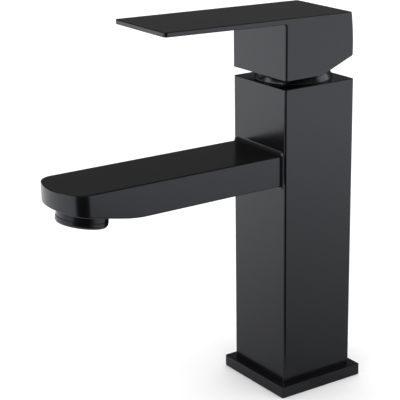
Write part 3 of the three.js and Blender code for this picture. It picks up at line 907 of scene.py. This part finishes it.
def handle_cavity(bottom):
    """The bar that hollows the block over the dome, with a chamfered mouth."""
    start, end = CAVITY_CHAMFER
    return revolve(rounded([
        (0, bottom - 2 * OVER, 0), (CAVITY["mouth"], bottom - 2 * OVER, 0),
        (CAVITY["mouth"], bottom + start, 0), (CAVITY["radius"], bottom + end, 0),
        (CAVITY["radius"], CAVITY["wall_top"], CAVITY_ROUND[0]),
        (CAVITY_ROOF["radius"], CAVITY_ROOF["height"], CAVITY_ROUND[1]), (0, CAVITY_ROOF["height"], 0),
    ], CAVITY_STEPS))


def stem_socket():
    """The bar that cuts the square socket for the lever's stem."""
    half = STEM_SOCKET["half"]
    low, high = (-half, -half, STEM_SOCKET["low"]), (half, half, STEM_SOCKET["high"])
    return block(low, high, STEM_SOCKET["corner"])


def handle():
    """Block and flat lever in one casting, hollow below, with the stem's socket and the screw's hole."""
    low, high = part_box("handle")
    sections = [handle_section(x, high.x, low.y, low.z) for x in handle_stations(high.x)]
    return combine(loft(sections), [handle_cavity(low.z), stem_socket(), rear_bar(in_metres(GRUB_HOLE))])


# ------------------------------------------------------------------ index plug

PLUG_RIM = 0.75 * MM  # width of the plug's dark rim
PLUG_SINK = 0.45 * MM  # how far below the crown the rim's inner edge lies
PLUG_LAND = {"width": 0.5 * MM, "sink": 0.3 * MM, "round": 0.2 * MM}  # the rim's highest line
PLUG_LEAD = {"height": 1 * MM, "round": 0.3 * MM}  # taper that guides the plug into its hole
PLUG_EDGE = 0.25 * MM
PLUG_STEPS = 6
RIM_CORNER_STEPS = 5
FACES_BACK = 0.7  # least y of the normal of the plug's coloured faces
PLUG_LOW, PLUG_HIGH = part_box("index_cap")


def index_cap():
    """Small plug over the grub screw, with a rounded rim round a gently domed face."""
    back, crown, radius = PLUG_LOW.y, PLUG_HIGH.y, PLUG_HIGH.x
    inner = radius - PLUG_RIM
    land = radius - PLUG_LAND["width"]
    side = rounded([
        (0, back, 0), (land, back, PLUG_LAND["round"]),
        (radius, back + PLUG_LEAD["height"], PLUG_LEAD["round"]),
        (radius, crown - PLUG_LAND["width"], PLUG_EDGE),
        (land, crown - PLUG_LAND["sink"], PLUG_LAND["round"]),
        (inner, crown - PLUG_SINK, 0),
    ], RIM_CORNER_STEPS)
    profile = [tuple(point) for point in side[1:]]
    for k in range(1, PLUG_STEPS + 1):
        part = 1 - k / PLUG_STEPS
        profile.append((inner * part, crown - PLUG_SINK * part**2))
    return rear_bar(profile)


def index_half(face):
    """0 for the plug's dark rim, 1 for the hot half of its face and 2 for the cold half."""
    rise = face.center.z - (PLUG_LOW.z + PLUG_HIGH.z) / 2
    if face.normal.y < FACES_BACK or math.hypot(face.center.x, rise) > PLUG_HIGH.x - PLUG_RIM:
        return 0
    return 1 if face.center.x < 0 else 2


# ------------------------------------------------------------------ pieces

piece("flange_plate", flange(), "base_flange", [BLACK])
piece("deck_gasket", gasket(), "base_gasket", [RUBBER])
piece("column_body", column(), "column", [BLACK, CAST], inside_column)
piece("spout_body", spout(), "spout", [BLACK])
piece("dome_cover", dome_cap(), "dome_cap", [BLACK])
piece("lever_handle", handle(), "handle", [BLACK])
piece("outlet_ring", aerator_housing(), "aerator_housing", [BLACK])
piece("index_plug", index_cap(), "index_cap", [BLACK, RED, BLUE], index_half)

for node in frame["nodes"].values():
    if not node.hide_render:
        node.data.materials[0] = FINISH[node.data.materials[0].name]


# ------------------------------------------------------------------ camera

CAMERA = {
    "place": (0.556517, -0.43376, 0.329268),
    "azimuth": 56.132,
    "elevation": 17.967,
    "roll": -0.891,
    "lens": 123.284,
    "sensor": 36,
    "clip": (0.01, 50),
}


def direction(azimuth, elevation):
    """Unit vector towards that azimuth, from -Y towards +X, and elevation, in degrees."""
    a, e = math.radians(azimuth), math.radians(elevation)
    return Vector((math.sin(a) * math.cos(e), -math.cos(a) * math.cos(e), math.sin(e)))


def make_camera():
    data = bpy.data.cameras.new("camera")
    data.sensor_width = CAMERA["sensor"]
    data.lens = CAMERA["lens"]
    data.clip_start, data.clip_end = CAMERA["clip"]
    camera = bpy.data.objects.new("camera", data)
    bpy.context.scene.collection.objects.link(camera)
    back = direction(CAMERA["azimuth"], CAMERA["elevation"])
    right = direction(CAMERA["azimuth"] + 90, 0)
    level = Matrix((right, back.cross(right), back)).transposed()
    turn = level @ Matrix.Rotation(math.radians(CAMERA["roll"]), 3, "Z")
    camera.matrix_world = Matrix.Translation(CAMERA["place"]) @ turn.to_4x4()
    bpy.context.scene.camera = camera


# ------------------------------------------------------------------ floor and light

FLOOR_RADIUS = 12
FLOOR_COLOUR = (0.95, 0.95, 0.95, 1)
FLOOR_ROUGHNESS = 0.9

CARD_HEIGHT = 0.3 * MM
CARD_CENTRE_X = 0.02  # the card's clearness is measured from the line under column and spout
# Painted shade: the card is least clear near the base, standing in for the floor's contact shadow as
# reflections see it.
CARD_CLEARNESS = [(0.02, 0.42), (0.06, 0.46), (0.2, 0.65), (0.34, 0.84), (0.5, 0.87), (0.6, 1.0)]
BESIDE_BASE = (0.025, 0.06)  # the dark sectors start over this reach from that line

# Sectors of painted shade on the card, as reflections see the floor: middle, half width and soft edge, in
# degrees of azimuth.
FRONT_GAP = (56, 26, 20)
BACK_GAP = (-128, 34, 12)
RIGHT_SHADE = (124, 34, 14)
RIGHT_DEPTH = 0.18
RIGHT_REACH = (0.34, 0.5)  # the right sector's shade fades out over this reach

# Azimuth, half width, soft edge; height on the unit sphere, half width, soft edge; strength.
WALLS = [
    (-10, 29, 8, 0.43, 0.15, 0.08, 2.3),
    (165, 22, 14, 0.36, 0.2, 0.08, 1.4),
    (-58, 14, 14, 0.0, 0.03, 0.05, 1.0),
]
UNLIT = 0.09  # strength of the rest of the room as reflections see it
ROOM = 1.3  # strength of the even room that lights the floor and fills the background
WHITE = (1, 1, 1, 1)
OVERHEAD = {"azimuth": -30, "elevation": 70, "distance": 1.8, "width": 1.6, "radiance": 0.12}


def polar(tree, source):
    """Azimuth in degrees from -Y towards +X, the vector, and its parts, of a coordinate output."""
    place = add(tree, "ShaderNodeTexCoord").outputs[source]
    parts = add(tree, "ShaderNodeSeparateXYZ", {0: place}).outputs
    angle = calc(tree, "ARCTAN2", parts["X"], times(tree, parts["Y"], -1.0))
    return calc(tree, "DEGREES", angle), place, parts


def window(tree, value, middle, half, soft):
    """1 within half of the middle, falling to 0 over the soft width."""
    away = calc(tree, "ABSOLUTE", calc(tree, "SUBTRACT", value, middle))
    return remap(tree, away, half, half + soft, 1.0, 0.0, "SMOOTHSTEP")


def disc(name, radius, height, material):
    """A flat round sheet at a height, with the material given."""
    bm = bmesh.new()
    place = Matrix.Translation((0, 0, height))
    bmesh.ops.create_circle(bm, cap_ends=True, segments=ROUND, radius=radius, matrix=place)
    obj = shown(bm, name)
    obj.data.materials.append(material)
    return obj


def make_floor():
    material, _, shader = surface("pale_floor", specular=0.0)
    shader.inputs["Base Color"].default_value = FLOOR_COLOUR
    shader.inputs["Roughness"].default_value = FLOOR_ROUGHNESS
    disc("floor", FLOOR_RADIUS, 0, material)


def make_reflection_shade_card():
    """Grey see-through card on the floor, which only reflections see, and which paints shade into them.

    It is darker near the object, as painted shade for the floor's contact shadow. It is also darker in the
    tent's open front and behind the object, as painted shade for the dark room there.
    """
    material = bpy.data.materials.new("reflection_shade_card")
    material.use_nodes = True
    tree = material.node_tree
    tree.nodes.clear()
    azimuth, place, parts = polar(tree, "Object")
    along = {"Value": parts["Y"], "Min": spout_low.y, "Max": 0.0}
    ahead = add(tree, "ShaderNodeClamp", along).outputs[0]
    under = add(tree, "ShaderNodeCombineXYZ", {"X": CARD_CENTRE_X, "Y": ahead}).outputs[0]
    distance = add(tree, "ShaderNodeVectorMath", {0: place, 1: under}, operation="DISTANCE")
    reach = distance.outputs["Value"]
    # painted contact shadow in the floor's reflections, darkest near the base
    ramp = add(tree, "ShaderNodeValToRGB", {"Fac": reach})
    elements = ramp.color_ramp.elements
    while len(elements) < len(CARD_CLEARNESS):
        elements.new(0.5)
    for element, (at, value) in zip(elements, CARD_CLEARNESS):
        element.position = at
        element.color = (value, value, value, 1)
    off_base = remap(tree, reach, *BESIDE_BASE, 0.0, 1.0)
    right_depth = remap(tree, reach, *RIGHT_REACH, RIGHT_DEPTH, 0.0)
    clearness = ramp.outputs["Color"]
    # painted shade in the floor's reflections, in the front and back gaps and to the right
    for sector, depth in ((FRONT_GAP, off_base), (BACK_GAP, off_base), (RIGHT_SHADE, right_depth)):
        shade = times(tree, window(tree, azimuth, *sector), depth)
        clearness = times(tree, clearness, calc(tree, "SUBTRACT", 1.0, shade))
    clear = add(tree, "ShaderNodeBsdfTransparent", {"Color": clearness}).outputs[0]
    add(tree, "ShaderNodeOutputMaterial", {"Surface": clear})
    # a sheet of painted shade that only reflections see
    card = disc("reflection_shade_card", FLOOR_RADIUS, CARD_HEIGHT, material)
    card.visible_camera = False
    card.visible_diffuse = False
    card.visible_shadow = False
    card.visible_transmission = False


def make_world():
    """A light tent: an even pale room, whose reflections show only its lit walls."""
    world = bpy.data.worlds.new("studio")
    bpy.context.scene.world = world
    world.use_nodes = True
    tree = world.node_tree
    tree.nodes.clear()
    azimuth, _, parts = polar(tree, "Generated")
    lit = UNLIT
    for middle, half, soft, level, rise, fade, strength in WALLS:
        across = window(tree, azimuth, middle, half, soft)
        upright = window(tree, parts["Z"], level, rise, fade)
        lit = calc(tree, "ADD", times(tree, times(tree, across, upright), strength), lit)
    room = add(tree, "ShaderNodeBackground", {"Color": WHITE, "Strength": ROOM}).outputs[0]
    seen = add(tree, "ShaderNodeBackground", {"Color": WHITE, "Strength": lit}).outputs[0]
    glossy = add(tree, "ShaderNodeLightPath").outputs["Is Glossy Ray"]
    mix = add(tree, "ShaderNodeMixShader", {0: glossy, 1: room, 2: seen})
    add(tree, "ShaderNodeOutputWorld", {"Surface": mix.outputs[0]})


def make_overhead():
    """Soft square light from above, which neither the camera nor reflections see."""
    width = OVERHEAD["width"]
    light = bpy.data.lights.new("overhead", "AREA")
    light.shape = "RECTANGLE"
    light.size = width
    light.size_y = width
    light.energy = OVERHEAD["radiance"] * math.pi * width * width
    obj = bpy.data.objects.new("overhead", light)
    toward = direction(OVERHEAD["azimuth"], OVERHEAD["elevation"])
    obj.location = toward * OVERHEAD["distance"]
    obj.rotation_mode = "QUATERNION"
    obj.rotation_quaternion = toward.to_track_quat("Z", "Y")
    obj.visible_camera = False
    obj.visible_glossy = False
    bpy.context.scene.collection.objects.link(obj)


make_camera()
make_floor()
# painted shade in the floor's reflections
make_reflection_shade_card()
make_world()
make_overhead()
bpy.context.scene.view_settings.view_transform = "Standard"
